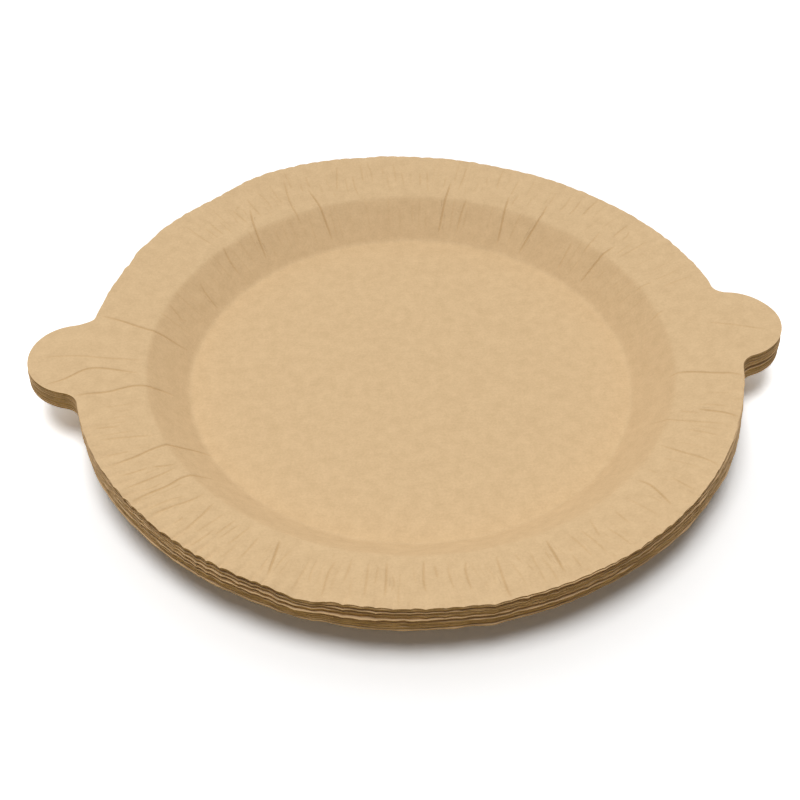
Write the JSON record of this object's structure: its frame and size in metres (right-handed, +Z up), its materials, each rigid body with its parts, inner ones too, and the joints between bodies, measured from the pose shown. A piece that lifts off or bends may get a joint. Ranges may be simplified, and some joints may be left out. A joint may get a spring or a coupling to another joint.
{
  "type": "stack of paper plates",
  "caption": "Nested stack of shallow round kraft-paper plates, each pressed from one sheet with a gathered flange and two round ears to lift it by.",
  "frame": {"origin": "on the table, under the middle of the stack", "axes": "+Z up through the middle of the plates, X along the line through the two ears, -Y towards the viewer of the picture"},
  "size_m": [0.2812, 0.245, 0.0264],
  "materials": {
    "kraft_paper": "matte unbleached kraft paper"
  },
  "bodies": {
    "root": {"plate_01": "kraft_paper", "plate_02": "kraft_paper", "plate_03": "kraft_paper", "plate_04": "kraft_paper", "plate_05": "kraft_paper", "plate_06": "kraft_paper", "plate_07": "kraft_paper", "plate_08": "kraft_paper", "plate_09": "kraft_paper", "plate_10": "kraft_paper", "plate_11": "kraft_paper", "plate_12": "kraft_paper", "plate_13": "kraft_paper", "plate_14": "kraft_paper", "plate_15": "kraft_paper", "plate_16": "kraft_paper"}
  },
  "joints": []
}
